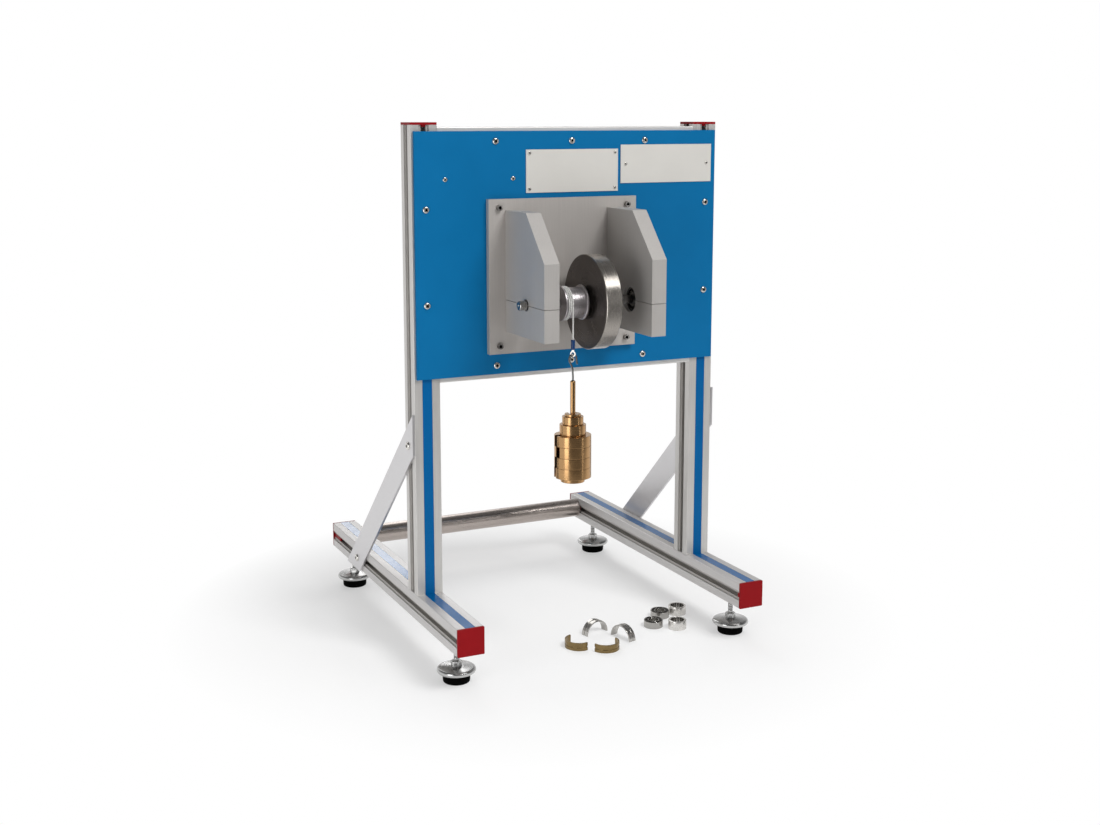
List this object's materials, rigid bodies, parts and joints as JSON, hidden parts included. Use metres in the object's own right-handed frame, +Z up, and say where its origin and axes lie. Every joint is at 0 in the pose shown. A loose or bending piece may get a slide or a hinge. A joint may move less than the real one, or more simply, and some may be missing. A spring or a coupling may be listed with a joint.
{
  "type": "bearing friction apparatus",
  "caption": "Bench stand with split bearing blocks, a shaft with flywheel and drum, and slotted weights hung on a cord, for comparing friction in bearings.",
  "frame": {"origin": "on the floor, mid-way between the outer faces of the feet and the ends of the rails", "axes": "+X to the right seen from the front, +Y to the back, +Z up"},
  "size_m": [0.578, 0.652, 0.881],
  "materials": {
    "profile": "natural anodised",
    "brace": "natural anodised",
    "tube": "satin",
    "red_cap": "matte",
    "blue_strip": "satin",
    "blue_panel": "satin paint",
    "pale_label": "satin",
    "plate": "satin grey",
    "block": "grey, fine machined",
    "screw": "bright zinc",
    "dark_screw": "dark zinc",
    "bearing": "ground",
    "steel": "turned",
    "wheel": "turned",
    "cord": "braided",
    "sleeve": "gloss",
    "tin": "tinned",
    "brass": "turned",
    "rubber": "matte",
    "foot": "bright zinc",
    "bronze": "aged",
    "white_metal": "bright",
    "pale_shell": "satin"
  },
  "bodies": {
    "stand": {"left_rail": "profile", "right_rail": "profile", "left_post": "profile", "right_post": "profile", "top_beam": "profile", "lower_beam": "profile", "cross_tube": "tube", "left_brace": "brace", "right_brace": "brace", "brace_screws": "screw", "rail_end_caps": "red_cap", "post_caps": "red_cap", "cover_strips": "blue_strip", "core_screws": "dark_screw", "slot_nuts": "dark_screw", "panel": "blue_panel", "panel_screws": "screw", "panel_rivets": "screw", "title_plate": "pale_label", "maker_plate": "pale_label", "label_screws": "screw", "mounting_plate": "plate", "plate_screws": "dark_screw", "plate_nuts": "dark_screw", "left_block": "block", "right_block": "block", "left_block_cap": "block", "right_block_cap": "block", "block_cap_screws": "dark_screw", "block_screws": "dark_screw", "bearing_outer_rings": "bearing", "bronze_half_shells": "bronze", "steel_half_shells": "white_metal", "roller_bearings": "bearing", "needle_bearings": "pale_shell"},
    "rotor": {"bearing_inner_rings": "bearing", "shaft": "steel", "flywheel": "wheel", "drum": "steel", "cord_winding": "cord"},
    "roller_set": {"bearing_rollers": "bearing"},
    "hanger": {"cord_drop": "cord", "crimp_sleeve": "sleeve", "ring_terminal": "tin", "hook": "tin", "hanger": "brass"},
    "large_weight_1": {"large_weight_1": "brass"},
    "large_weight_2": {"large_weight_2": "brass"},
    "large_weight_3": {"large_weight_3": "brass"},
    "large_weight_4": {"large_weight_4": "brass"},
    "medium_weight": {"medium_weight": "brass"},
    "small_weights": {"small_weights": "brass"},
    "front_left_pad": {"front_left_pad": "rubber"},
    "front_left_stud": {"front_left_stud": "foot"},
    "front_right_pad": {"front_right_pad": "rubber"},
    "front_right_stud": {"front_right_stud": "foot"},
    "rear_left_pad": {"rear_left_pad": "rubber"},
    "rear_left_stud": {"rear_left_stud": "foot"},
    "rear_right_pad": {"rear_right_pad": "rubber"},
    "rear_right_stud": {"rear_right_stud": "foot"}
  },
  "joints": [
    {"name": "shaft_spin", "type": "hinge", "parent": "stand", "child": "rotor", "pos_m": [-0.019, -0.243, 0.595], "axis": [1, 0, 0], "range_deg": [-80, 625]},
    {"name": "roller_spin", "type": "hinge", "parent": "stand", "child": "roller_set", "pos_m": [-0.019, -0.243, 0.595], "axis": [1, 0, 0], "range_deg": [-36, 268]},
    {"name": "weight_drop", "type": "slide", "parent": "stand", "child": "hanger", "axis": [0, 0, -1], "range_m": [-0.038, 0.29], "deforming": ["cord_drop"]},
    {"name": "large_weight_1_lift", "type": "slide", "parent": "hanger", "child": "large_weight_1", "axis": [0, 0, 1], "range_m": [0, 0.007]},
    {"name": "large_weight_2_lift", "type": "slide", "parent": "large_weight_1", "child": "large_weight_2", "axis": [0, 0, 1], "range_m": [0, 0.007]},
    {"name": "large_weight_3_lift", "type": "slide", "parent": "large_weight_2", "child": "large_weight_3", "axis": [0, 0, 1], "range_m": [0, 0.007]},
    {"name": "large_weight_4_lift", "type": "slide", "parent": "large_weight_3", "child": "large_weight_4", "axis": [0, 0, 1], "range_m": [0, 0.007]},
    {"name": "medium_weight_lift", "type": "slide", "parent": "large_weight_4", "child": "medium_weight", "axis": [0, 0, 1], "range_m": [0, 0.007]},
    {"name": "small_weights_lift", "type": "slide", "parent": "medium_weight", "child": "small_weights", "axis": [0, 0, 1], "range_m": [0, 0.007]},
    {"name": "front_left_foot_out", "type": "slide", "parent": "stand", "child": "front_left_pad", "axis": [0, 0, -1], "range_m": [0, 0.006]},
    {"name": "front_left_foot_turn", "type": "hinge", "parent": "front_left_pad", "child": "front_left_stud", "pos_m": [-0.2575, -0.262, 0.05], "axis": [0, 0, -1], "range_deg": [0, 1728]},
    {"name": "front_right_foot_out", "type": "slide", "parent": "stand", "child": "front_right_pad", "axis": [0, 0, -1], "range_m": [0, 0.006]},
    {"name": "front_right_foot_turn", "type": "hinge", "parent": "front_right_pad", "child": "front_right_stud", "pos_m": [0.2575, -0.262, 0.05], "axis": [0, 0, -1], "range_deg": [0, 1728]},
    {"name": "rear_left_foot_out", "type": "slide", "parent": "stand", "child": "rear_left_pad", "axis": [0, 0, -1], "range_m": [0, 0.006]},
    {"name": "rear_left_foot_turn", "type": "hinge", "parent": "rear_left_pad", "child": "rear_left_stud", "pos_m": [-0.2575, 0.264, 0.05], "axis": [0, 0, -1], "range_deg": [0, 1728]},
    {"name": "rear_right_foot_out", "type": "slide", "parent": "stand", "child": "rear_right_pad", "axis": [0, 0, -1], "range_m": [0, 0.006]},
    {"name": "rear_right_foot_turn", "type": "hinge", "parent": "rear_right_pad", "child": "rear_right_stud", "pos_m": [0.2575, 0.264, 0.05], "axis": [0, 0, -1], "range_deg": [0, 1728]}
  ],
  "couplings": [
    {"joint": "roller_spin", "follows": "shaft_spin", "ratio": 0.4153},
    {"joint": "weight_drop", "follows": "shaft_spin", "m_per_rad": 0.0264},
    {"joint": "front_left_foot_out", "follows": "front_left_foot_turn", "m_per_rad": 0.00019894},
    {"joint": "front_right_foot_out", "follows": "front_right_foot_turn", "m_per_rad": 0.00019894},
    {"joint": "rear_left_foot_out", "follows": "rear_left_foot_turn", "m_per_rad": 0.00019894},
    {"joint": "rear_right_foot_out", "follows": "rear_right_foot_turn", "m_per_rad": 0.00019894}
  ]
}
